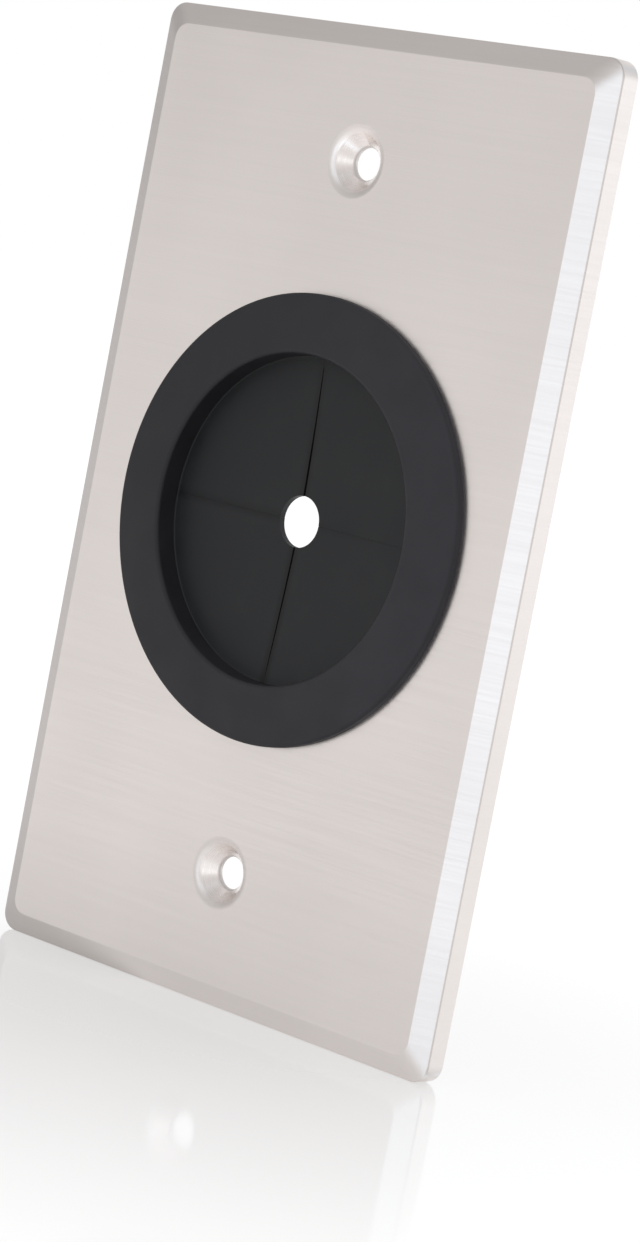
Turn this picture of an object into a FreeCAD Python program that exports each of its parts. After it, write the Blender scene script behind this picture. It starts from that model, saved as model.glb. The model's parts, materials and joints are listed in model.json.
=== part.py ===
import FreeCAD, Part
import os
import Sketcher

# A wall plate for one wall box, with a slit rubber grommet that cables pass through.
# Lengths are millimetres. X is the plate's width as seen from the room, and Z is up.
# The wall is the plane Y = 0 and the room lies on the -Y side of it.
# The origin is the point of the wall behind the centre of the plate.

SIZES = {
    # the plate, one sheet formed to a shallow tray
    "plate_width": 69.85,
    "plate_height": 114.3,
    "plate_depth": 3.7,
    "sheet_thickness": 1.0,
    "corner_radius": 2.3,
    "bevel_width": 2.55,
    "bevel_drop": 1.2,
    "mitre_radius": 5.0,
    "ridge_radius": 0.25,
    # the two screw holes, each at the bottom of a countersunk dimple, 83.34 apart on this plate
    "screw_edge_distance": 15.48,
    "screw_hole_diameter": 3.8,
    "dimple_angle": 82.0,
    "dimple_depth": 2.1,
    "dimple_lip_radius": 1.2,
    "screw_hole_land": 0.4,
    "screw_hole_edge_radius": 0.3,
    # the grommet, one moulding that clasps the edge of the round hole
    "opening_diameter": 38.2,
    "barrel_wall": 2.0,
    "barrel_clearance": 0.15,
    "flange_reach": 5.05,
    "flange_edge_height": 1.1,
    "rim_height": 1.8,
    "rim_radius": 0.45,
    "flange_edge_radius": 0.45,
    "rear_reach": 2.1,
    "rear_band": 0.6,
    "rear_taper_length": 1.6,
    "rear_taper_width": 1.9,
    "rear_edge_radius": 0.3,
    # the membrane that closes the grommet, its cable hole and its two crossed slits
    "membrane_depth": 1.2,
    "membrane_dish": 0.9,
    "membrane_thickness": 0.8,
    "membrane_corner_radius": 0.35,
    "cable_hole_diameter": 6.0,
    "slit_margin": 0.6,
    "upright_slit_width": 0.3,
    "level_slit_width": 0.1,
}

# Lengths that follow from the sizes above, as formulas.
OPENING = "Sizes.opening_diameter / 2"
BARREL = f"({OPENING} + Sizes.barrel_wall)"
FLANGE = f"({BARREL} + Sizes.flange_reach)"
REAR = f"({BARREL} + Sizes.rear_reach)"
PLATE_HOLE = f"({BARREL} + Sizes.barrel_clearance)"
REAR_END = "(Sizes.sheet_thickness + Sizes.rear_band + Sizes.rear_taper_length)"
SCREW_SPACING = "(Sizes.plate_height - 2 * Sizes.screw_edge_distance)"
DIMPLE_SLOPE = "tan(Sizes.dimple_angle / 2)"
DIMPLE_MOUTH = f"(Sizes.screw_hole_diameter / 2 + Sizes.dimple_depth * {DIMPLE_SLOPE})"
DIMPLE_END = "(Sizes.dimple_depth + Sizes.screw_hole_land)"
SHEET_ALONG_DIMPLE = "Sizes.sheet_thickness / cos(Sizes.dimple_angle / 2)"

TOLERANCE = 1e-4


def write_sizes(doc):
    """Write the driving sizes down under their names, one row each."""
    sheet = doc.addObject("Spreadsheet::Sheet", "Sizes")
    for row, (name, value) in enumerate(SIZES.items(), start=1):
        sheet.set(f"A{row}", name)
        sheet.set(f"B{row}", str(value))
        sheet.setAlias(f"B{row}", name)
    doc.recompute()
    return sheet


def number(doc, formula):
    """Return what a formula of the sizes comes to, as a plain number."""
    return float(doc.Sizes.evalExpression(formula))


def make_body(doc, label):
    """Add an empty body under its node name."""
    body = doc.addObject("PartDesign::Body", label)
    body.Label = label
    return body


def origin_item(body, role):
    """Return one of a body's own origin planes or axes."""
    return next(item for item in body.Origin.OriginFeatures if item.Role == role)


def make_sketch(body, name, plane):
    """Add a sketch to a body, flat on one of its origin planes."""
    sketch = body.newObject("Sketcher::SketchObject", name)
    sketch.AttachmentSupport = [(origin_item(body, plane), "")]
    sketch.MapMode = "FlatFace"
    return sketch


def pin(sketch, edge, end, across, up):
    """Hold one end of a sketch edge at two formulas, across and up from the sketch's origin."""
    for kind, formula in (("DistanceX", across), ("DistanceY", up)):
        value = number(sketch.Document, formula)
        index = sketch.addConstraint(Sketcher.Constraint(kind, -1, 1, edge, end, value))
        sketch.setExpression(f"Constraints[{index}]", formula)


def draw_outline(sketch, corners, arcs=()):
    """Draw a closed outline through corners that are held at formulas.

    A stretch is straight, unless the number of the corner that it starts from is in arcs.
    Such a stretch is an arc centred on the sketch's across axis, and one of its ends is
    on that axis too.
    """
    doc = sketch.Document
    points = [FreeCAD.Vector(number(doc, across), number(doc, up), 0) for across, up in corners]
    stretches = []
    for index, start in enumerate(points):
        end = points[(index + 1) % len(points)]
        if index not in arcs:
            stretches.append((sketch.addGeometry(Part.LineSegment(start, end)), 1, 2))
            continue
        pole, edge = (start, end) if abs(start.y) < TOLERANCE else (end, start)
        sag, reach = pole.x - edge.x, edge.y
        radius = (sag ** 2 + reach ** 2) / (2 * sag)
        centre = FreeCAD.Vector(pole.x - radius, 0, 0)
        circle = Part.Circle(centre, FreeCAD.Vector(0, 0, 1), radius)
        span = circle.parameter(edge)
        arc = sketch.addGeometry(Part.ArcOfCircle(circle, 0, span))
        sketch.addConstraint(Sketcher.Constraint("PointOnObject", arc, 3, -1))
        stretches.append((arc, 1, 2) if pole is start else (arc, 2, 1))
    for index, (edge, first, last) in enumerate(stretches):
        following, its_first, _ = stretches[(index + 1) % len(stretches)]
        sketch.addConstraint(Sketcher.Constraint("Coincident", edge, last, following, its_first))
        pin(sketch, edge, first, *corners[index])


def draw_circle(sketch, diameter):
    """Draw a circle round the sketch's origin, its diameter held at a formula."""
    value = number(sketch.Document, diameter)
    up = FreeCAD.Vector(0, 0, 1)
    circle = sketch.addGeometry(Part.Circle(FreeCAD.Vector(), up, value / 2))
    sketch.addConstraint(Sketcher.Constraint("Coincident", circle, 3, -1, 1))
    index = sketch.addConstraint(Sketcher.Constraint("Diameter", circle, value))
    sketch.setExpression(f"Constraints[{index}]", diameter)


def rectangle(half_width, half_height):
    """Return the corners of a rectangle round the sketch's origin, as formulas."""
    sides = ((-1, -1), (1, -1), (1, 1), (-1, 1))
    return [(f"{side} * {half_width}", f"{end} * {half_height}") for side, end in sides]


def cut_through(body, name, sketch):
    """Cut a sketch's outline right through a body, both ways."""
    cut = body.newObject("PartDesign::Pocket", name)
    cut.Profile = sketch
    cut.Type = "ThroughAll"
    cut.SideType = "Symmetric"
    return finish_step(body, cut)


def turn(body, kind, name, sketch):
    """Turn a sketch once round its own across axis, adding to a body or cutting it."""
    feature = body.newObject(f"PartDesign::{kind}", name)
    feature.Profile = sketch
    feature.ReferenceAxis = (sketch, ["H_Axis"])
    feature.Angle = 360
    return finish_step(body, feature)


def round_edges(body, name, radius, wanted):
    """Round the edges of a body's latest shape that a test picks out."""
    latest = body.Tip
    edges = [f"Edge{i}" for i, edge in enumerate(latest.Shape.Edges, start=1) if wanted(edge)]
    if not edges:
        raise ValueError(f"{name} found no edge to round")
    feature = body.newObject("PartDesign::Fillet", name)
    feature.Base = (latest, edges)
    feature.setExpression("Radius", radius)
    return finish_step(body, feature)


def finish_step(body, feature):
    """Make a feature the latest of its body and work out its shape."""
    body.Tip = feature
    body.Document.recompute()
    return feature


def is_ring(edge, across, radius):
    """Tell whether an edge is a circle of a given radius at a given place along Y."""
    if edge.Degenerated or not isinstance(edge.Curve, Part.Circle):
        return False
    return abs(edge.Curve.Center.y - across) < TOLERANCE and abs(edge.Curve.Radius - radius) < TOLERANCE


def make_tray(body):
    """Form the plate's sheet: a flat face, mitred bevels, a skirt and a hollow back."""
    outline = make_sketch(body, "plate_outline", "XZ_Plane")
    draw_outline(outline, rectangle("Sizes.plate_width / 2", "Sizes.plate_height / 2"))
    block = body.newObject("PartDesign::Pad", "plate_block")
    block.Profile = outline
    block.setExpression("Length", "Sizes.plate_depth")
    finish_step(body, block)

    def is_depth_edge(edge):
        first, last = edge.Vertexes[0].Point, edge.Vertexes[-1].Point
        return abs(first.x - last.x) < TOLERANCE and abs(first.z - last.z) < TOLERANCE

    round_edges(body, "plate_corners", "Sizes.corner_radius", is_depth_edge)

    face, shoulder = "-Sizes.plate_depth", "(Sizes.bevel_drop - Sizes.plate_depth)"
    for name, plane, size in (
        ("level_bevels", "YZ_Plane", "plate_height"),
        ("upright_bevels", "XY_Plane", "plate_width"),
    ):
        sketch = make_sketch(body, f"{name}_outline", plane)
        for side in ("1", "-1"):
            edge = f"{side} * Sizes.{size} / 2"
            inner = f"{side} * (Sizes.{size} / 2 - Sizes.bevel_width)"
            corners = [(face, inner), (face, edge), (shoulder, edge)]
            if plane == "XY_Plane":
                corners = [(across, up) for up, across in corners]
            draw_outline(sketch, corners)
        cut_through(body, name, sketch)

    solid = body.Tip
    faces = enumerate(solid.Shape.Faces, start=1)
    back = [f"Face{i}" for i, face in faces if face.BoundBox.YMin > -TOLERANCE]
    tray = body.newObject("PartDesign::Thickness", "hollow_back")
    tray.Base = (solid, back)
    tray.setExpression("Value", "Sizes.sheet_thickness")
    tray.Reversed = True
    tray.Join = "Intersection"
    finish_step(body, tray)


def make_dimples(body):
    """Press the two countersunk dimples, each with a screw hole at its bottom."""
    doc = body.Document
    hole, mouth = "Sizes.screw_hole_diameter / 2", DIMPLE_MOUTH
    face = "-Sizes.plate_depth"
    root, end = f"({face} + Sizes.sheet_thickness / 2)", f"({face} + {DIMPLE_END})"

    def back_radius(depth):
        return f"({mouth} - {depth} * {DIMPLE_SLOPE} + {SHEET_ALONG_DIMPLE})"

    wall_sketch = make_sketch(body, "dimple_wall_outline", "YZ_Plane")
    hole_sketch = make_sketch(body, "screw_hole_outline", "YZ_Plane")
    for sketch in (wall_sketch, hole_sketch):
        sketch.setExpression("AttachmentOffset.Base.y", f"{SCREW_SPACING} / 2")
    root_radius, end_radius = back_radius("Sizes.sheet_thickness / 2"), back_radius(DIMPLE_END)
    draw_outline(wall_sketch, [(root, "0"), (end, "0"), (end, end_radius), (root, root_radius)])
    wall = turn(body, "Revolution", "dimple_wall", wall_sketch)
    throat = f"({face} + Sizes.dimple_depth)"
    draw_outline(hole_sketch, [(face, "0"), (end, "0"), (end, hole), (throat, hole), (face, mouth)])
    countersink = turn(body, "Groove", "screw_hole", hole_sketch)

    pair = body.newObject("PartDesign::Mirrored", "lower_dimple")
    pair.Originals = [wall, countersink]
    pair.MirrorPlane = (origin_item(body, "XY_Plane"), [""])
    finish_step(body, pair)

    for name, size, across, radius in (
        ("dimple_lips", "dimple_lip_radius", face, mouth),
        ("screw_hole_edges", "screw_hole_edge_radius", throat, hole),
    ):
        place, reach = number(doc, across), number(doc, radius)
        round_edges(body, name, f"Sizes.{size}", lambda edge: is_ring(edge, place, reach))


def make_round_hole(body):
    """Cut the round hole that the grommet sits in."""
    sketch = make_sketch(body, "round_hole_outline", "XZ_Plane")
    draw_circle(sketch, f"2 * {PLATE_HOLE}")
    cut_through(body, "round_hole", sketch)


def soften_ridges(body):
    """Round the mitres and ridges of the bevels slightly, as pressing leaves them."""
    doc = body.Document
    shoulder = number(doc, "Sizes.bevel_drop - Sizes.plate_depth")
    half_width, half_height = number(doc, "Sizes.plate_width / 2"), number(doc, "Sizes.plate_height / 2")
    bevel = number(doc, "Sizes.bevel_width")

    def is_ridge(edge):
        box = edge.BoundBox
        if box.YMax > shoulder + TOLERANCE:
            return False
        at_side = min(abs(box.XMin), abs(box.XMax)) > half_width - bevel - TOLERANCE
        at_end = min(abs(box.ZMin), abs(box.ZMax)) > half_height - bevel - TOLERANCE
        return at_side or at_end

    def is_mitre(edge):
        box = edge.BoundBox
        is_slanted = min(box.XLength, box.YLength, box.ZLength) > TOLERANCE
        return is_ridge(edge) and is_slanted and isinstance(edge.Curve, Part.Line)

    round_edges(body, "mitres", "Sizes.mitre_radius", is_mitre)
    round_edges(body, "ridges", "Sizes.ridge_radius", is_ridge)


def make_wall_plate(doc):
    """Make the plate: a formed and pierced sheet."""
    plate = make_body(doc, "wall_plate")
    make_tray(plate)
    make_dimples(plate)
    make_round_hole(plate)
    soften_ridges(plate)
    return plate


def mould_grommet(body):
    """Mould the grommet: flange, barrel, rear flange and the dished membrane across it."""
    doc = body.Document
    rim, edge_top = "-Sizes.rim_height", "-Sizes.flange_edge_height"
    band_end = "(Sizes.sheet_thickness + Sizes.rear_band)"
    front, pole = "Sizes.membrane_depth", "(Sizes.membrane_depth + Sizes.membrane_dish)"
    back, rear_pole = f"({front} + Sizes.membrane_thickness)", f"({pole} + Sizes.membrane_thickness)"
    rear_tip = f"({REAR} - Sizes.rear_taper_width)"

    sketch = make_sketch(body, "grommet_section", "YZ_Plane")
    corners = [
        (pole, "0"),
        (front, OPENING),
        (rim, OPENING),
        (edge_top, FLANGE),
        ("0", FLANGE),
        ("0", BARREL),
        ("Sizes.sheet_thickness", BARREL),
        ("Sizes.sheet_thickness", REAR),
        (band_end, REAR),
        (REAR_END, rear_tip),
        (REAR_END, OPENING),
        (back, OPENING),
        (rear_pole, "0"),
    ]
    draw_outline(sketch, corners, arcs=(0, 11))
    turn(body, "Revolution", "grommet_moulding", sketch)

    def rings(*places):
        wanted = [(number(doc, across), number(doc, radius)) for across, radius in places]
        return lambda edge: any(is_ring(edge, across, radius) for across, radius in wanted)

    round_edges(body, "rim", "Sizes.rim_radius", rings((rim, OPENING)))
    round_edges(body, "flange_edge", "Sizes.flange_edge_radius", rings((edge_top, FLANGE)))
    round_edges(
        body, "membrane_corners", "Sizes.membrane_corner_radius", rings((front, OPENING), (back, OPENING))
    )
    round_edges(
        body,
        "rear_edges",
        "Sizes.rear_edge_radius",
        rings((band_end, REAR), (REAR_END, rear_tip), (REAR_END, OPENING)),
    )


def open_membrane(body):
    """Punch the cable hole and cut the two slits that cross at it."""
    hole = make_sketch(body, "cable_hole_outline", "XZ_Plane")
    draw_circle(hole, "Sizes.cable_hole_diameter")
    cut_through(body, "cable_hole", hole)
    reach = f"({OPENING} - Sizes.slit_margin)"
    for name, half_width, half_height in (
        ("upright_slit", "Sizes.upright_slit_width / 2", reach),
        ("level_slit", reach, "Sizes.level_slit_width / 2"),
    ):
        sketch = make_sketch(body, f"{name}_outline", "XZ_Plane")
        draw_outline(sketch, rectangle(half_width, half_height))
        cut_through(body, name, sketch)


def make_grommet(doc):
    """Make the grommet, in a frame of its own whose XZ plane is the plate's face."""
    grommet = make_body(doc, "cable_grommet")
    grommet.setExpression("Placement.Base.y", "-Sizes.plate_depth")
    mould_grommet(grommet)
    open_membrane(grommet)
    return grommet


def check(doc, bodies):
    """Stop if any object failed, or if a piece isn't one sound solid."""
    for item in doc.Objects:
        if "Invalid" in item.State or "Error" in item.State:
            raise ValueError(f"{item.Name} failed: {item.State}")
    for body in bodies:
        shape = body.Shape
        if shape.isNull() or not shape.isValid() or len(shape.Solids) != 1:
            raise ValueError(f"{body.Label} isn't one sound solid")


def main():
    """Build every piece, check them and write each to its own file."""
    doc = FreeCAD.newDocument("wall_plate")
    write_sizes(doc)
    bodies = [make_wall_plate(doc), make_grommet(doc)]
    doc.recompute()
    check(doc, bodies)
    os.makedirs("parts", exist_ok=True)
    for body in bodies:
        body.Shape.exportStep(f"parts/{body.Label}.step")
        print(body.Label, "volume", round(body.Shape.Volume, 2), "mm3")


main()
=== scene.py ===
"""Dress the grommet wall plate: the brushed sheet, the rubber grommet and the studio."""

import json
import logging
import math
from collections.abc import Callable, Iterator, Sequence
from dataclasses import dataclass, field
from enum import Enum
from typing import ClassVar

import bpy
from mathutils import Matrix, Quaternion, Vector


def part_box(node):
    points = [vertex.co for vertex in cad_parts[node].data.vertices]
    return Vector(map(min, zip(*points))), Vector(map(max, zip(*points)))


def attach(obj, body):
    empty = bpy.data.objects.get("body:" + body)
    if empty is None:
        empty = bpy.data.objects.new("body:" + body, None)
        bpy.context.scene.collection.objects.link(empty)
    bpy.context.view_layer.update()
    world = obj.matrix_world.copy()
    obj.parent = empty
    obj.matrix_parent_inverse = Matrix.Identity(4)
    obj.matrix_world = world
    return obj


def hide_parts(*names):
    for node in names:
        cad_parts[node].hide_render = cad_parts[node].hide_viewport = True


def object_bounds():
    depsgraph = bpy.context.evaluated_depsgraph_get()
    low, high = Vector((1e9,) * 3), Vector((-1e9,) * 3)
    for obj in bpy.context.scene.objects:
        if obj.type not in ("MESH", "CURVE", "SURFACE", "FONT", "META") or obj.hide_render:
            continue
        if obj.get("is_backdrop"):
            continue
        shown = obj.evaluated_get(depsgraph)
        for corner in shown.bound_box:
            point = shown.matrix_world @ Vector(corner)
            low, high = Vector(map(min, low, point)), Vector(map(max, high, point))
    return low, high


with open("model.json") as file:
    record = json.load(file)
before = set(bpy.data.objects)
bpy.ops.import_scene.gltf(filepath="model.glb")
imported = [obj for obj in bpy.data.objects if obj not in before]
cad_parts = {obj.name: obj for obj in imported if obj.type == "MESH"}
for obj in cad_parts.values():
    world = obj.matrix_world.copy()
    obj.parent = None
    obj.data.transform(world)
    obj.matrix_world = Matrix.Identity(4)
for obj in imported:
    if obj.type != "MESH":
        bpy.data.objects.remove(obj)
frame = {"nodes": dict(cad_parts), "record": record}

Socket = bpy.types.NodeSocket
Outputs = bpy.types.bpy_prop_collection
Colour = tuple[float, float, float, float]
Span = tuple[float, float]
Setting = float | tuple[float, ...] | Socket
Pick = Callable[[Vector], bool]

LOG = logging.getLogger("grommet_wall_plate")
MM = 0.001
BODY = "root"
WHITE: Colour = (1.0, 1.0, 1.0, 1.0)
COOL_LIGHT: Colour = (0.85, 0.93, 1.0, 1.0)


class Part(Enum):
    """The pieces of the object, by the names of their nodes."""

    PLATE = "wall_plate"
    GROMMET = "cable_grommet"


class Slot(Enum):
    """The material slots that the record names."""

    METAL = "plate_metal"
    RUBBER = "grommet_rubber"


class Mount(Enum):
    """The mounts whose sizes the finishes and the grommet share."""

    SCREWS = "box_screws"
    CABLE = "cable_hole"

    def sizes(self) -> dict[str, float]:
        """Return the mount's stated dimensions, as the record gives them."""
        return next(m["dims"] for m in frame["record"]["mounts"] if m["name"] == self.value)


class Recipe:
    """A node tree, written down node by node."""

    GRAIN_ROUGHNESS: ClassVar[float] = 0.55

    def __init__(self, tree: bpy.types.NodeTree) -> None:
        """Start on a node tree, and empty it."""
        tree.nodes.clear()
        self.tree = tree

    def add(
        self, kind: str, inputs: dict[str | int, Setting] | None = None, **settings: object
    ) -> bpy.types.Node:
        """Add one node.

        Args:
            kind: The node's type without its ShaderNode prefix.
            inputs: A value, or a socket to link, for each named or numbered input.
            **settings: Properties of the node itself.

        Returns:
            The new node.
        """
        node = self.tree.nodes.new(f"ShaderNode{kind}")
        for name, value in settings.items():
            setattr(node, name, value)
        for name, value in (inputs or {}).items():
            if isinstance(value, Socket):
                self.tree.links.new(value, node.inputs[name])
            else:
                node.inputs[name].default_value = value
        return node

    def math(self, operation: str, *terms: Setting) -> Socket:
        """Return the result of one arithmetic step on numbers or sockets."""
        return self.add("Math", dict(enumerate(terms)), operation=operation).outputs[0]

    def product(self, first: Setting, *others: Setting) -> Setting:
        """Multiply several numbers or sockets.

        Args:
            first: The first factor.
            *others: The other factors.

        Returns:
            The product.
        """
        for other in others:
            first = self.math("MULTIPLY", first, other)
        return first

    def off(self, along: Setting, place: float) -> Socket:
        """Return how far a coordinate is off a place."""
        return self.math("ABSOLUTE", self.math("SUBTRACT", along, place))

    def ramp(self, value: Setting, start: float, end: float, low: float, high: float) -> Socket:
        """Return a smooth step from low to high while a value goes from start to end."""
        inputs = {"Value": value, "From Min": start, "From Max": end, "To Min": low, "To Max": high}
        return self.add("MapRange", inputs, interpolation_type="SMOOTHSTEP").outputs["Result"]

    def mix(self, share: Setting, first: Setting, second: Setting) -> Socket:
        """Return a number that a share of 0 makes the first, and a share of 1 the second."""
        return self.add("Mix", {0: share, 2: first, 3: second}, data_type="FLOAT").outputs[0]

    def blend(self, share: Setting, first: Setting, second: Setting) -> Socket:
        """Return a colour that a share of 0 makes the first, and a share of 1 the second."""
        return self.add("Mix", {0: share, 6: first, 7: second}, data_type="RGBA").outputs[2]

    def axes(self, vector: Socket) -> Outputs:
        """Return a vector's X, Y and Z."""
        return self.add("SeparateXYZ", {0: vector}).outputs

    def length(self, vector: Socket) -> Socket:
        """Return a vector's length."""
        return self.add("VectorMath", {0: vector}, operation="LENGTH").outputs["Value"]

    def grain(self, at: Socket, cell: Sequence[float], detail: float = 2.0) -> Socket:
        """Add noise whose cells have a given size.

        Args:
            at: The coordinates to read.
            cell: The length of one cell along X, Y and Z, in metres.
            detail: The number of finer layers.

        Returns:
            The noise, between 0 and 1.
        """
        scale = tuple(1.0 / length for length in cell)
        mapped = self.add("Mapping", {"Vector": at, "Scale": scale}).outputs["Vector"]
        inputs = {"Vector": mapped, "Scale": 1.0, "Detail": detail, "Roughness": self.GRAIN_ROUGHNESS}
        return self.add("TexNoise", inputs).outputs["Fac"]

    def surface(self, inputs: dict[str | int, Setting]) -> None:
        """Give the material one shader with these inputs."""
        shader = self.add("BsdfPrincipled", inputs)
        self.add("OutputMaterial", {"Surface": shader.outputs["BSDF"]})


def new_material(name: str) -> tuple[bpy.types.Material, Recipe]:
    """Make an empty node material.

    Args:
        name: The material's name.

    Returns:
        The material, and the recipe that its nodes are written in.
    """
    material = bpy.data.materials.new(name)
    material.use_nodes = True
    return material, Recipe(material.node_tree)


@dataclass(frozen=True)
class BrushedMetal:
    """Aluminium sheet, brushed along its width, with turned countersinks and a mill-finished back."""

    tint: tuple[float, float, float] = (0.642, 0.596, 0.573)
    roughness: float = 0.34
    roughness_spread: float = 0.10
    roughness_span: Span = (0.25, 0.75)
    anisotropy: float = 0.55
    brushing_turn: float = 0.25
    scratch_length: float = 14.0 * MM
    scratch_pitch: float = 0.16 * MM
    scratch_detail: float = 3.0
    scratch_depth: float = 0.012 * MM
    scratch_strength: float = 0.6
    band_length: float = 60.0 * MM
    band_pitch: float = 0.9 * MM
    band_detail: float = 1.0
    grain_contrast: float = 0.03
    grain_span: Span = (0.2, 0.8)
    cloud_size: float = 22.0 * MM
    cloud_contrast: float = 0.03
    cloud_span: Span = (0.3, 0.7)
    countersink_radius: float = 3.25 * MM
    countersink_edge: float = 0.8 * MM
    countersink_tint: float = 1.26
    countersink_roughness: float = 0.30
    turning_pitch: float = 0.12 * MM
    lip_radius: float = 3.82 * MM
    lip_span: Span = (0.25 * MM, 0.55 * MM)
    lip_roughness: float = 0.45
    pierced_band: float = 0.05 * MM
    pierced_fade: float = 0.20 * MM
    # The screw holes' sheared edge is duller, and its slight darkening is partly painted shade at the
    # hole's lip.
    pierced_edge_and_shade_tint: float = 0.95
    pierced_roughness: float = 0.50
    back_span: Span = (0.05, 0.25)
    back_tint: float = 0.86
    back_roughness: float = 0.46

    def make(self) -> bpy.types.Material:
        """Write the material.

        Returns:
            The material.
        """
        material, recipe = new_material("brushed_aluminium")
        place = recipe.add("TexCoord").outputs
        back = recipe.ramp(recipe.axes(place["Normal"])["Y"], *self.back_span, 0.0, 1.0)
        turned, sunk, lip, pierced = self.countersinks(recipe, place["Object"])
        cell = (self.scratch_length, self.scratch_length, self.scratch_pitch)
        scratches = recipe.grain(place["Object"], cell, self.scratch_detail)
        marks = recipe.mix(sunk, scratches, turned)

        share = recipe.mix(sunk, 1.0, self.countersink_tint)
        share = recipe.mix(back, share, self.back_tint)
        # Darker at the screw holes: a duller sheared edge, partly painted shade.
        share = recipe.mix(pierced, share, self.pierced_edge_and_shade_tint)
        half_spread = self.roughness_spread / 2
        rough = recipe.ramp(marks, *self.roughness_span, -half_spread, half_spread)
        level = recipe.mix(sunk, self.roughness, self.countersink_roughness)
        level = recipe.mix(lip, level, self.lip_roughness)
        level = recipe.mix(back, level, self.back_roughness)
        level = recipe.mix(pierced, level, self.pierced_roughness)
        relief = {"Strength": self.scratch_strength, "Distance": self.scratch_depth, "Height": marks}
        inputs = {
            "Base Color": self.tone(recipe, place["Object"], marks, share),
            "Metallic": 1.0,
            "Roughness": recipe.math("ADD", level, rough),
            "Anisotropic": self.anisotropy,
            "Anisotropic Rotation": self.brushing_turn,
            "Normal": recipe.add("Bump", relief).outputs["Normal"],
        }
        recipe.surface(inputs)
        return material

    def countersinks(self, recipe: Recipe, at: Socket) -> tuple[Socket, Socket, Socket, Socket]:
        """Find the two screw dimples, with the fine rings that turning leaves in them.

        Args:
            recipe: The recipe to write in.
            at: Object coordinates.

        Returns:
            The rings, and masks that are 1 inside a dimple, along its lip and at its screw hole.
        """
        screws = Mount.SCREWS.sizes()
        axes = recipe.axes(at)
        up = recipe.math("ABSOLUTE", axes["Z"])
        up = recipe.math("SUBTRACT", up, screws["spacing_y_mm"] * MM / 2)
        radius = recipe.length(recipe.add("CombineXYZ", {"X": axes["X"], "Z": up}).outputs[0])

        mouth = self.countersink_radius
        sunk = recipe.ramp(radius, mouth, mouth + self.countersink_edge, 1.0, 0.0)
        lip = recipe.ramp(recipe.off(radius, self.lip_radius), *self.lip_span, 1.0, 0.0)
        edge = screws["hole_r_mm"] * MM + self.pierced_band
        pierced = recipe.ramp(radius, edge, edge + self.pierced_fade, 1.0, 0.0)
        along = recipe.math("DIVIDE", radius, self.turning_pitch)
        rings = recipe.add("TexNoise", {"W": along, "Scale": 1.0}, noise_dimensions="1D")
        return rings.outputs["Fac"], sunk, lip, pierced

    def tone(self, recipe: Recipe, at: Socket, marks: Socket, share: Socket) -> Socket:
        """Vary the tint with the marks of the brush, wider bands and a slow drift over the sheet.

        Args:
            recipe: The recipe to write in.
            at: Object coordinates.
            marks: The finest marks.
            share: The share of the tint that each part of the sheet has.

        Returns:
            The base colour.
        """
        bands = recipe.grain(at, (self.band_length, self.band_length, self.band_pitch), self.band_detail)
        clouds = recipe.grain(at, (self.cloud_size,) * 3)
        grain, cloud = self.grain_contrast / 2, self.cloud_contrast / 2
        fine = recipe.ramp(marks, *self.grain_span, -grain, grain)
        wide = recipe.ramp(bands, *self.grain_span, -grain / 2, grain / 2)
        slow = recipe.ramp(clouds, *self.cloud_span, -cloud, cloud)
        drift = recipe.math("ADD", recipe.math("ADD", fine, wide), slow)
        level = recipe.product(recipe.math("ADD", drift, 1.0), share)
        scaled = recipe.add("VectorMath", {0: self.tint, "Scale": level}, operation="SCALE")
        return scaled.outputs["Vector"]


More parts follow.
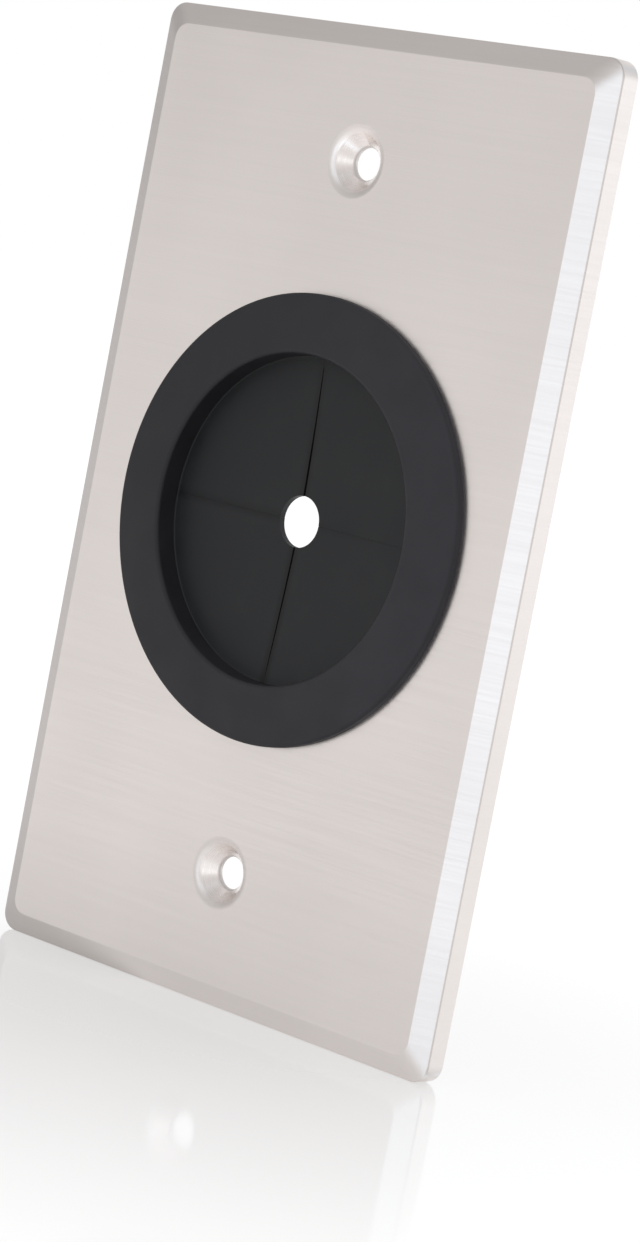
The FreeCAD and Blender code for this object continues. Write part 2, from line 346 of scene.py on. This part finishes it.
@dataclass(frozen=True)
class MouldedRubber:
    """Black rubber with the fine matt skin that a mould leaves, and painted light and shade in its colour.
    """

    flange_tint: Colour = (0.0170, 0.0165, 0.0190, 1.0)
    # A lighter, cooler flange colour towards the right: painted light from the right.
    flange_right_lit_tint: Colour = (0.0345, 0.0325, 0.0385, 1.0)
    flange_side_light_span: Span = (-26.0 * MM, 26.0 * MM)
    # The membrane, and all that lies behind it, is darker than the flange: painted shade of the recess.
    recess_shade_fade: float = 0.5 * MM
    membrane_shaded_tint: Colour = (0.0105, 0.0110, 0.0115, 1.0)
    # A darker colour along the slits' lips: painted shade in the slits.
    slit_shade_tint: Colour = (0.0030, 0.0030, 0.0035, 1.0)
    slit_shade_fade: float = 1.1 * MM
    upright_shade_place: float = -0.12 * MM
    level_shade_span: Span = (-4.0 * MM, 16.0 * MM)
    level_shade_share: float = 0.70
    # Lighter where the membrane faces up: painted light from above.
    upward_light_span: Span = (-0.09, 0.09)
    upward_light_share: float = 0.26
    bloom_tint: Colour = (0.0290, 0.0290, 0.0320, 1.0)
    bloom_span: Span = (0.35, 0.75)
    bloom_share: float = 0.30
    bloom_size: float = 5.0 * MM
    bloom_detail: float = 4.0
    shine: float = 0.27
    roughness: float = 0.54
    roughness_spread: float = 0.14
    roughness_span: Span = (0.2, 0.8)
    skin_size: float = 0.14 * MM
    skin_detail: float = 3.0
    skin_depth: float = 0.010 * MM
    swell_size: float = 3.0 * MM
    swell_depth: float = 0.03 * MM
    relief_strength: float = 0.5

    def make(self, membrane: float) -> bpy.types.Material:
        """Write the material.

        Args:
            membrane: How far along Y the membrane begins, behind the flange and its inner wall.

        Returns:
            The material.
        """
        material, recipe = new_material("moulded_rubber")
        place = recipe.add("TexCoord").outputs
        at, axes = place["Object"], recipe.axes(place["Object"])
        bloom = recipe.grain(at, (self.bloom_size,) * 3, self.bloom_detail)

        # From here back the darker membrane colour is painted shade of the recess.
        outside = recipe.ramp(axes["Y"], membrane - self.recess_shade_fade, membrane, 1.0, 0.0)
        # The flange grows lighter and cooler towards its right: painted light from the right.
        side = recipe.ramp(axes["X"], *self.flange_side_light_span, 0.0, 1.0)
        flange = recipe.blend(side, self.flange_tint, self.flange_right_lit_tint)
        inside = self.membrane_colour(recipe, axes, recipe.axes(place["Normal"])["Z"])
        plain = recipe.blend(outside, inside, flange)
        share = recipe.ramp(bloom, *self.bloom_span, 0.0, self.bloom_share)

        low, high = self.roughness - self.roughness_spread / 2, self.roughness + self.roughness_spread / 2
        inputs = {
            "Base Color": recipe.blend(share, plain, self.bloom_tint),
            "Roughness": recipe.ramp(bloom, *self.roughness_span, low, high),
            "Specular IOR Level": self.shine,
            "Normal": self.relief(recipe, at),
        }
        recipe.surface(inputs)
        return material

    def membrane_colour(self, recipe: Recipe, axes: Outputs, facing: Socket) -> Socket:
        """Lighten the membrane where it faces up with painted light from above, and darken the lips of its
        slits with painted shade.

        Args:
            recipe: The recipe to write in.
            axes: The X, Y and Z of Object coordinates.
            facing: How far the surface faces up.

        Returns:
            The colour.
        """
        upward_light = recipe.ramp(facing, *self.upward_light_span, 0.0, self.upward_light_share)
        upward_lit = recipe.blend(upward_light, self.membrane_shaded_tint, self.bloom_tint)
        # Painted shade along the upright slit, and along the level slit's left part, fading out to the
        # right.
        upright = recipe.ramp(recipe.off(axes["X"], self.upright_shade_place), 0.0, self.slit_shade_fade, 1.0, 0.0)
        level = recipe.ramp(recipe.off(axes["Z"], 0.0), 0.0, self.slit_shade_fade, 1.0, 0.0)
        level = recipe.product(level, recipe.ramp(axes["X"], *self.level_shade_span, self.level_shade_share, 0.0))
        return recipe.blend(recipe.math("MAXIMUM", upright, level), upward_lit, self.slit_shade_tint)

    def relief(self, recipe: Recipe, at: Socket) -> Socket:
        """Raise the skin's fine grain over a slow swell.

        Args:
            recipe: The recipe to write in.
            at: Object coordinates.

        Returns:
            The normal.
        """
        swell = recipe.grain(at, (self.swell_size,) * 3)
        skin = recipe.grain(at, (self.skin_size,) * 3, self.skin_detail)
        coarse = {"Strength": self.relief_strength, "Distance": self.swell_depth, "Height": swell}
        fine = {"Strength": self.relief_strength, "Distance": self.skin_depth, "Height": skin}
        fine["Normal"] = recipe.add("Bump", coarse).outputs["Normal"]
        return recipe.add("Bump", fine).outputs["Normal"]


@dataclass(frozen=True)
class StudioFloor:
    """A floor that looks white, with a polish that fades away from the object's foot.

    For reflections it glows with painted light: the metal mirrors a bright cool band ahead of the right
    bevel, and a dimmer glow beyond that band and at the far left.
    """

    tint: Colour = (0.22, 0.22, 0.22, 1.0)
    seen_glow: float = 0.89
    mirrored_near: float = 1.16
    mirrored_far: float = 1.09
    mirrored_span: Span = (40.0 * MM, 260.0 * MM)
    left_span: Span = (-1.0, -0.955)
    left_share: float = 0.54
    band_foot: tuple[float, float, float] = (35.0 * MM, 0.0, 0.0)
    band_span: Span = (-0.35, 0.05)
    band_reach: float = 220.0 * MM
    band_near: float = 1.42
    band_far: float = 1.60
    right_span: Span = (0.30, 0.50)
    right_share: float = 0.70
    ahead_span: Span = (0.0, 0.3)
    polish_near: float = 0.50
    polish_far: float = 0.05
    polish_reach: float = 155.0 * MM
    polish_roughness: float = 0.08

    def make(self) -> bpy.types.Material:
        """Write the material.

        Returns:
            The material.
        """
        material, recipe = new_material("studio_floor")
        at = recipe.add("TexCoord").outputs["Object"]
        distance = recipe.length(at)
        mirrored, cool = self.mirrored_light(recipe, at, distance)
        path = recipe.add("LightPath").outputs
        seen = recipe.product(path["Is Camera Ray"], self.seen_glow)
        # Only reflections see this painted light from the floor.
        mirrored = recipe.product(path["Is Glossy Ray"], mirrored)
        matt = {
            "Base Color": self.tint,
            "Roughness": 1.0,
            "Specular IOR Level": 0.0,
            "Emission Color": recipe.blend(recipe.product(cool, path["Is Glossy Ray"]), WHITE, COOL_LIGHT),
            "Emission Strength": recipe.math("MAXIMUM", seen, mirrored),
        }
        white = recipe.add("BsdfPrincipled", matt).outputs["BSDF"]
        gloss = recipe.add("BsdfGlossy", {"Roughness": self.polish_roughness}).outputs["BSDF"]
        polish = recipe.ramp(distance, 0.0, self.polish_reach, self.polish_near, self.polish_far)
        mixed = recipe.add("MixShader", {0: polish, 1: white, 2: gloss})
        recipe.add("OutputMaterial", {"Surface": mixed.outputs[0]})
        return material

    def mirrored_light(self, recipe: Recipe, at: Socket, distance: Socket) -> tuple[Socket, Socket]:
        """Work out the painted light that the floor gives off where the object mirrors it.

        Args:
            recipe: The recipe to write in.
            at: Object coordinates.
            distance: How far a point is from the middle of the object's foot.

        Returns:
            The brightness, and the share of cool light in it.
        """
        glow = recipe.ramp(distance, *self.mirrored_span, self.mirrored_near, self.mirrored_far)
        side = recipe.math("DIVIDE", recipe.axes(at)["X"], distance)
        left = recipe.ramp(side, *self.left_span, self.left_share, 1.0)

        aside = recipe.add("VectorMath", {0: at, 1: self.band_foot}, operation="SUBTRACT").outputs[0]
        away, axes = recipe.length(aside), recipe.axes(aside)
        turn = recipe.math("DIVIDE", axes["X"], away)
        past = recipe.ramp(turn, *self.right_span, 0.0, 1.0)
        band = recipe.ramp(turn, *self.band_span, 0.0, 1.0)
        band = recipe.product(band, recipe.math("SUBTRACT", 1.0, past))
        level = recipe.ramp(away, 0.0, self.band_reach, self.band_near, self.band_far)
        ahead = recipe.ramp(recipe.math("DIVIDE", axes["Y"], away), *self.ahead_span, 1.0, 0.0)
        right = recipe.mix(recipe.product(past, ahead), 1.0, self.right_share)
        return recipe.product(glow, left, recipe.mix(band, 1.0, level), right), band


class Bench:
    """One mesh that is modelled in edit mode, with its parts picked by their place."""

    def __init__(self, name: str, start: Vector) -> None:
        """Begin with a single point.

        Args:
            name: The piece's name.
            start: Where the point is.
        """
        bpy.ops.object.select_all(action="DESELECT")
        bpy.ops.mesh.primitive_plane_add(size=MM, location=start)
        self.piece = bpy.context.object
        self.piece.name = name
        self.piece.data.name = name
        bpy.ops.object.transform_apply(location=True, rotation=True, scale=True)
        bpy.ops.object.mode_set(mode="EDIT")
        bpy.ops.mesh.select_mode(type="VERT")
        bpy.ops.mesh.select_all(action="SELECT")
        bpy.ops.mesh.merge(type="CENTER")

    def draw_on(self, step: Vector) -> None:
        """Extrude the last point of an outline by one step."""
        bpy.ops.mesh.extrude_vertices_move(TRANSFORM_OT_translate={"value": step})

    def pick(self, wanted: Pick) -> None:
        """Select the vertices that a test accepts, and nothing else.

        Args:
            wanted: The test, which gets the vertex's place.
        """
        bpy.ops.mesh.select_mode(type="VERT")
        bpy.ops.mesh.select_all(action="DESELECT")
        bpy.ops.object.mode_set(mode="OBJECT")
        for vertex in self.piece.data.vertices:
            vertex.select = wanted(vertex.co)
        bpy.ops.object.mode_set(mode="EDIT")

    def pick_edges(self, wanted: Pick) -> None:
        """Select the edges that a test accepts, and nothing else.

        Args:
            wanted: The test, which gets the place of the edge's middle.
        """
        bpy.ops.mesh.select_mode(type="EDGE")
        bpy.ops.mesh.select_all(action="DESELECT")
        bpy.ops.object.mode_set(mode="OBJECT")
        points = self.piece.data.vertices
        for edge in self.piece.data.edges:
            first, last = (points[index].co for index in edge.vertices)
            edge.select = wanted((first + last) / 2)
        bpy.ops.object.mode_set(mode="EDIT")

    def move(self, wanted: Pick, step: Vector) -> None:
        """Move the vertices that a test accepts by one step."""
        self.pick(wanted)
        bpy.ops.transform.translate(value=step)

    def weld(self, merge: float) -> None:
        """Merge all points that lie close together.

        Args:
            merge: How close two points are when they become one.
        """
        bpy.ops.mesh.select_mode(type="VERT")
        bpy.ops.mesh.select_all(action="SELECT")
        bpy.ops.mesh.remove_doubles(threshold=merge)

    def mirror(self, merge: float) -> None:
        """Mirror a quarter across the planes X = 0 and Z = 0, and weld it there.

        Args:
            merge: How close two points are when they become one.
        """
        bpy.ops.object.mode_set(mode="OBJECT")
        modifier = self.piece.modifiers.new("mirror", "MIRROR")
        modifier.use_axis = (True, False, True)
        modifier.merge_threshold = merge
        bpy.ops.object.modifier_apply(modifier=modifier.name)
        bpy.ops.object.mode_set(mode="EDIT")

    def finish(self, material: bpy.types.Material, sharp: float) -> bpy.types.Object:
        """Turn the faces outwards, smooth them and leave edit mode.

        Args:
            material: The finish.
            sharp: The angle, in degrees, from which an edge stays sharp.

        Returns:
            The finished piece.
        """
        bpy.ops.mesh.select_all(action="SELECT")
        bpy.ops.mesh.normals_make_consistent(inside=False)
        bpy.ops.object.mode_set(mode="OBJECT")
        bpy.ops.object.shade_smooth_by_angle(angle=math.radians(sharp))
        self.piece.data.materials.append(material)
        return self.piece


@dataclass(frozen=True)
class Corner:
    """One corner of the grommet's section: its radius, its depth into the wall and its rounding."""

    radius: float
    depth: float
    rounding: float = 0.0
    steps: int = 6


def rounded(corners: Sequence[Corner]) -> Iterator[tuple[float, float]]:
    """Walk round a closed section with its corners rounded.

    Args:
        corners: The corners in order.

    Yields:
        The radius and depth of each point.
    """
    for index, corner in enumerate(corners):
        here = Vector((corner.radius, corner.depth))
        if not corner.rounding:
            yield tuple(here)
            continue
        before, after = corners[index - 1], corners[(index + 1) % len(corners)]
        inward = (Vector((before.radius, before.depth)) - here).normalized()
        outward = (Vector((after.radius, after.depth)) - here).normalized()
        half = inward.angle(outward) / 2
        centre = here + (inward + outward).normalized() * corner.rounding / math.sin(half)
        start = here + inward * corner.rounding / math.tan(half) - centre
        end = here + outward * corner.rounding / math.tan(half) - centre
        arc = start.angle(end)
        for step in range(corner.steps + 1):
            turned = arc * step / corner.steps
            spoke = (start * math.sin(arc - turned) + end * math.sin(turned)) / math.sin(arc)
            yield tuple(centre + spoke)


@dataclass
class CableGrommet:
    """The rubber grommet: flange, barrel, rear flange and the slit membrane across it."""

    WELD: ClassVar[float] = 0.001 * MM
    RIM_STEPS: ClassVar[int] = 8
    # The axes that the upright and the level slit are cut across.
    SLIT_AXES: ClassVar[tuple[int, int]] = (0, 2)
    # How wide a slit gapes at each layer of the membrane, from its front to its back.
    SLIT_SHAPE: ClassVar[tuple[float, ...]] = (2.2, 0.8, 0.5, 0.5, 1.0)
    SLIT_POWER: ClassVar[float] = 0.4

    finish: MouldedRubber = field(default_factory=MouldedRubber)
    opening_radius: float = 19.1 * MM
    barrel_radius: float = 21.1 * MM
    rear_radius: float = 23.2 * MM
    rear_tip_radius: float = 21.3 * MM
    sheet_thickness: float = 1.0 * MM
    rear_band: float = 0.6 * MM
    rear_rounding: float = 0.3 * MM
    flange_edge_height: float = 1.1 * MM
    edge_rounding: float = 0.45 * MM
    rim_height: float = 1.8 * MM
    rim_rounding: float = 0.45 * MM
    membrane_depth: float = 1.2 * MM
    membrane_dish: float = 0.9 * MM
    membrane_thickness: float = 0.8 * MM
    membrane_rounding: float = 0.18 * MM
    membrane_rings: int = 14
    quarter_steps: int = 96
    sharp_angle: float = 40.0
    slit_margin: float = 0.6 * MM
    slit_end: float = 0.01 * MM
    cut: float = 0.01 * MM
    # The upright slit above and below the cable hole.
    upright_gap: Span = (0.054 * MM, 0.043 * MM)
    upright_drift: float = -0.18 * MM
    drift_reach: float = 2.0 * MM
    # The lip at the right and at the left of the upright slit.
    upright_droop: Span = (0.15 * MM, 0.14 * MM)
    level_droop: float = 0.12 * MM
    lip_reach: float = 0.9 * MM
    # The petals at the upper right, upper left, lower right and lower left.
    petal_sag: tuple[float, ...] = (0.06 * MM, -0.02 * MM, 0.07 * MM, 0.00 * MM)

    def __post_init__(self) -> None:
        """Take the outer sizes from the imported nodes, and the cable hole from its mount."""
        low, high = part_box(Part.GROMMET.value)
        plate_low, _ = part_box(Part.PLATE.value)
        self.flange_radius = high.x
        self.face = plate_low.y
        self.rear_end = high.y
        self.hole_radius = Mount.CABLE.sizes()["r_mm"] * MM
        self.slit_reach = self.opening_radius - self.slit_margin
        self.membrane_layers = len(self.SLIT_SHAPE) - 1

    def dish(self, radius: float) -> float:
        """Work out how far the membrane's front lies behind the plate's face.

        Args:
            radius: How far a point is from the grommet's axis.

        Returns:
            The depth there.
        """
        ball = (self.membrane_dish**2 + self.opening_radius**2) / (2 * self.membrane_dish)
        sag = ball - math.sqrt(ball**2 - radius**2)
        return self.membrane_depth + self.membrane_dish - sag

    def membrane_radii(self) -> list[float]:
        """Return the radii of the membrane's rings, from the cable hole to the slits' ends."""
        span, rings = self.slit_reach - self.hole_radius, self.membrane_rings
        return [self.hole_radius + span * ring / rings for ring in range(rings + 1)]

    def section(self) -> list[Corner]:
        """Lay out the grommet's section.

        Returns:
            Its corners, from the cable hole outwards and back behind the plate.
        """
        wall, rear, sheet = self.opening_radius, self.rear_end - self.face, self.sheet_thickness
        thickness, layer = self.membrane_thickness, self.membrane_thickness / self.membrane_layers
        front = [Corner(radius, self.dish(radius)) for radius in self.membrane_radii()]
        back = [Corner(corner.radius, corner.depth + thickness) for corner in reversed(front)]
        hole_wall = [
            Corner(self.hole_radius, back[-1].depth - layer * count)
            for count in range(1, self.membrane_layers)
        ]
        return [
            *front,
            Corner(wall, self.membrane_depth, self.membrane_rounding),
            Corner(wall, -self.rim_height, self.rim_rounding, self.RIM_STEPS),
            Corner(self.flange_radius, -self.flange_edge_height, self.edge_rounding, self.RIM_STEPS),
            Corner(self.flange_radius, 0.0),
            Corner(self.barrel_radius, 0.0),
            Corner(self.barrel_radius, sheet),
            Corner(self.rear_radius, sheet),
            Corner(self.rear_radius, sheet + self.rear_band, self.rear_rounding),
            Corner(self.rear_tip_radius, rear, self.rear_rounding),
            Corner(wall, rear, self.rear_rounding),
            Corner(wall, self.membrane_depth + thickness, self.membrane_rounding),
            *back,
            *hole_wall,
        ]

    def layer(self, place: Vector) -> int:
        """Return the number of a membrane point's layer, counted from 0 at its front."""
        depth = place.y - self.face - self.dish(math.hypot(place.x, place.z))
        return round(depth / self.membrane_thickness * self.membrane_layers)

    def mould(self, bench: Bench, points: list[Vector]) -> None:
        """Draw the section as an outline and spin it into a quarter of the grommet.

        Args:
            bench: The bench that holds the outline's first point.
            points: The outline's points, upright in the plane X = 0.
        """
        for here, following in zip(points, points[1:]):
            bench.draw_on(following - here)
        ends = (points[0], points[-1])
        bench.pick(lambda place: any((place - end).length < self.WELD for end in ends))
        bpy.ops.mesh.edge_face_add()
        bpy.ops.mesh.select_all(action="SELECT")
        bpy.ops.mesh.spin(steps=self.quarter_steps, angle=-math.pi / 2, center=(0, 0, 0), axis=(0, 1, 0))

    def slit(self, bench: Bench, across: int, along: int) -> None:
        """Close the cut face of the membrane at one end of the quarter, and draw it back a little.

        Args:
            bench: The bench that holds the quarter.
            across: The axis that the slit's width lies on.
            along: The axis that the slit runs along.
        """
        start, end = self.hole_radius + self.WELD, self.slit_reach

        def is_cut_edge(place: Vector) -> bool:
            """Tell whether an edge bounds the open cut."""
            return abs(place[across]) < self.WELD and start < place[along] < end

        def is_cut_point(place: Vector) -> bool:
            """Tell whether a point lies on the closed cut, short of its end."""
            return abs(place[across]) < self.WELD and place[along] < end - self.slit_end

        bench.pick_edges(is_cut_edge)
        bpy.ops.mesh.bridge_edge_loops(number_cuts=self.membrane_layers - 1, interpolation="LINEAR")
        bench.weld(self.WELD)
        step = Vector()
        step[across] = self.cut
        bench.move(is_cut_point, step)

    def settle(self, piece: bpy.types.Object) -> None:
        """Open the slits, and let the petals sag and curl a little differently, as cut rubber does.

        Args:
            piece: The whole grommet, out of edit mode.
        """
        for vertex in piece.data.vertices:
            place = vertex.co
            radius = math.hypot(place.x, place.z)
            if radius >= self.slit_reach:
                continue
            petal = (place.x < 0) + 2 * (place.z < 0)
            lean = (self.slit_reach - radius) / (self.slit_reach - self.hole_radius)
            free = math.sin(math.pi * min(lean, 1.0))
            width = self.SLIT_SHAPE[self.layer(place)] * lean**self.SLIT_POWER
            upright, level = (math.exp(-abs(place[axis]) / self.lip_reach) for axis in self.SLIT_AXES)
            place.y += self.petal_sag[petal] * lean**2
            place.y += self.upright_droop[place.x < 0] * free * upright + self.level_droop * free * level
            place.x += math.copysign(self.upright_gap[place.z < 0] * width * upright, place.x)
            place.x += self.upright_drift * free * math.exp(-abs(place.x) / self.drift_reach)

    def build(self) -> bpy.types.Object:
        """Model the grommet and hang it on the object's body.

        Returns:
            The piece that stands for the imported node.
        """
        points = [Vector((0, self.face + depth, radius)) for radius, depth in rounded(self.section())]
        bench = Bench("rubber_grommet", points[0])
        self.mould(bench, points)
        side, up = self.SLIT_AXES
        self.slit(bench, across=side, along=up)
        self.slit(bench, across=up, along=side)
        bench.mirror(self.WELD)
        material = self.finish.make(self.face + self.membrane_depth)
        piece = bench.finish(material, self.sharp_angle)
        self.settle(piece)
        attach(piece, BODY)
        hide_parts(Part.GROMMET.value)
        return piece


@dataclass
class WallPlate:
    """The pressed sheet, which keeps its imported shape."""

    finish: BrushedMetal = field(default_factory=BrushedMetal)

    def build(self) -> bpy.types.Object:
        """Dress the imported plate.

        Returns:
            The plate.
        """
        plate = frame["nodes"][Part.PLATE.value]
        plate.data.materials.clear()
        plate.data.materials.append(self.finish.make())
        return plate


def bearing(azimuth: float, elevation: float) -> Vector:
    """Work out the direction of a point that is seen from the object.

    Args:
        azimuth: Degrees to the right of straight in front.
        elevation: Degrees above the horizon.

    Returns:
        A unit vector.
    """
    turn, rise = math.radians(azimuth), math.radians(elevation)
    return Vector((math.sin(turn) * math.cos(rise), -math.cos(turn) * math.cos(rise), math.sin(rise)))


@dataclass(frozen=True)
class Softbox:
    """A square lamp that faces the object."""

    name: str
    azimuth: float
    elevation: float
    distance: float
    width: float
    brightness: float
    colour: tuple[float, ...] = COOL_LIGHT[:3]

    def build(self, target: Vector) -> bpy.types.Object:
        """Hang the lamp.

        Args:
            target: The point that it faces.

        Returns:
            The lamp.
        """
        data = bpy.data.lights.new(self.name, "AREA")
        data.shape = "SQUARE"
        data.size = self.width
        data.color = self.colour
        data.energy = self.brightness * math.pi * self.width**2
        lamp = bpy.data.objects.new(self.name, data)
        bpy.context.scene.collection.objects.link(lamp)
        back = bearing(self.azimuth, self.elevation)
        lamp.location = target + back * self.distance
        lamp.rotation_mode = "QUATERNION"
        lamp.rotation_quaternion = back.to_track_quat("Z", "Y")
        lamp.visible_camera = False
        return lamp


@dataclass(frozen=True)
class Viewpoint:
    """The photograph's camera."""

    azimuth: float = 41.51
    elevation: float = 5.25
    lean: float = 10.91
    distance: float = 418.97 * MM
    aim: tuple[float, float, float] = (7.892 * MM, -3.7 * MM, -10.208 * MM)
    lens: float = 106.84
    sensor: float = 36.0
    clip_start: float = 10.0 * MM

    def build(self) -> bpy.types.Object:
        """Place the camera and make it the scene's.

        Returns:
            The camera.
        """
        data = bpy.data.cameras.new("camera")
        data.lens, data.sensor_width = self.lens, self.sensor
        data.clip_start = self.clip_start
        camera = bpy.data.objects.new("camera", data)
        bpy.context.scene.collection.objects.link(camera)
        back = bearing(self.azimuth, self.elevation)
        camera.location = Vector(self.aim) + back * self.distance
        camera.rotation_mode = "QUATERNION"
        level = (-back).to_track_quat("-Z", "Y")
        camera.rotation_quaternion = level @ Quaternion((0, 0, 1), math.radians(self.lean))
        bpy.context.scene.camera = camera
        return camera


@dataclass
class Studio:
    """The white studio: the floor, light from all round, two softboxes and the camera.

    The light dims overhead and at the far left, has a bright cool band in front for the right bevel
    to mirror, and is even behind the object.
    """

    floor_finish: StudioFloor = field(default_factory=StudioFloor)
    floor_size: float = 12.0
    horizon_brightness: float = 0.97
    ceiling_brightness: float = 0.62
    left_brightness: float = 0.58
    left_span: Span = (-0.97, -0.62)
    band_brightness: float = 1.82
    band_place: float = 0.16
    band_span: Span = (0.12, 0.32)
    band_top: Span = (0.50, 1.00)
    right_brightness: float = 1.02
    right_span: Span = (0.30, 0.50)
    behind_brightness: float = 1.05
    behind_span: Span = (0.12, 0.45)
    softboxes: tuple[Softbox, ...] = (
        Softbox("rim_softbox", azimuth=138.0, elevation=10.0, distance=1.2, width=0.50, brightness=0.66),
        Softbox("strip_softbox", azimuth=56.0, elevation=5.0, distance=1.0, width=0.28, brightness=0.75),
    )

    def build_floor(self, foot: float) -> bpy.types.Object:
        """Lay the floor under the object.

        Args:
            foot: The height of the object's lowest edge.

        Returns:
            The floor.
        """
        bpy.ops.object.select_all(action="DESELECT")
        bpy.ops.mesh.primitive_plane_add(size=self.floor_size, location=(0, 0, foot))
        floor = bpy.context.object
        floor.name = "studio_floor"
        floor.data.materials.append(self.floor_finish.make())
        floor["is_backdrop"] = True
        return floor

    def surroundings(self, recipe: Recipe) -> tuple[Socket, Socket]:
        """Work out how bright the studio is in each direction.

        Args:
            recipe: The recipe to write in.

        Returns:
            The brightness, and the share of cool light in it.
        """
        axes = recipe.axes(recipe.add("TexCoord").outputs["Generated"])
        overhead = recipe.ramp(axes["Z"], 0.0, 1.0, self.horizon_brightness, self.ceiling_brightness)
        left = recipe.ramp(axes["X"], *self.left_span, self.left_brightness, 1.0)
        right = recipe.ramp(axes["X"], *self.right_span, 1.0, self.right_brightness)
        band = recipe.ramp(recipe.off(axes["X"], self.band_place), *self.band_span, 1.0, 0.0)
        band = recipe.product(band, recipe.ramp(axes["Z"], *self.band_top, 1.0, 0.0))
        front = recipe.product(left, recipe.mix(band, right, self.band_brightness), overhead)
        behind = recipe.ramp(axes["Y"], *self.behind_span, 0.0, 1.0)
        return recipe.mix(behind, front, self.behind_brightness), band

    def build_world(self) -> None:
        """Light the object from all round, in front of a white background."""
        world = bpy.data.worlds.new("studio")
        world.use_nodes = True
        bpy.context.scene.world = world
        recipe = Recipe(world.node_tree)
        level, band = self.surroundings(recipe)
        path = recipe.add("LightPath").outputs
        plain = recipe.math("MAXIMUM", path["Is Camera Ray"], path["Is Transmission Ray"])
        cool = recipe.product(band, recipe.math("SUBTRACT", 1.0, plain))
        inputs = {"Color": recipe.blend(cool, WHITE, COOL_LIGHT), "Strength": recipe.mix(plain, level, 1.0)}
        recipe.add("OutputWorld", {"Surface": recipe.add("Background", inputs).outputs[0]})

    def build(self) -> None:
        """Set up the studio and the camera."""
        bpy.context.scene.view_settings.view_transform = "Standard"
        low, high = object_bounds()
        self.build_floor(low.z)
        self.build_world()
        for softbox in self.softboxes:
            softbox.build((low + high) / 2)
            LOG.info("lamp %s", softbox.name)
        Viewpoint().build()


def main() -> None:
    """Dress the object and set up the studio."""
    logging.basicConfig(level=logging.INFO, format="%(message)s")
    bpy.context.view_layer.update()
    for assembly in (WallPlate(), CableGrommet()):
        piece = assembly.build()
        LOG.info("piece %s, %d faces", piece.name, len(piece.data.polygons))
    Studio().build()


if __name__ == "__main__":
    main()
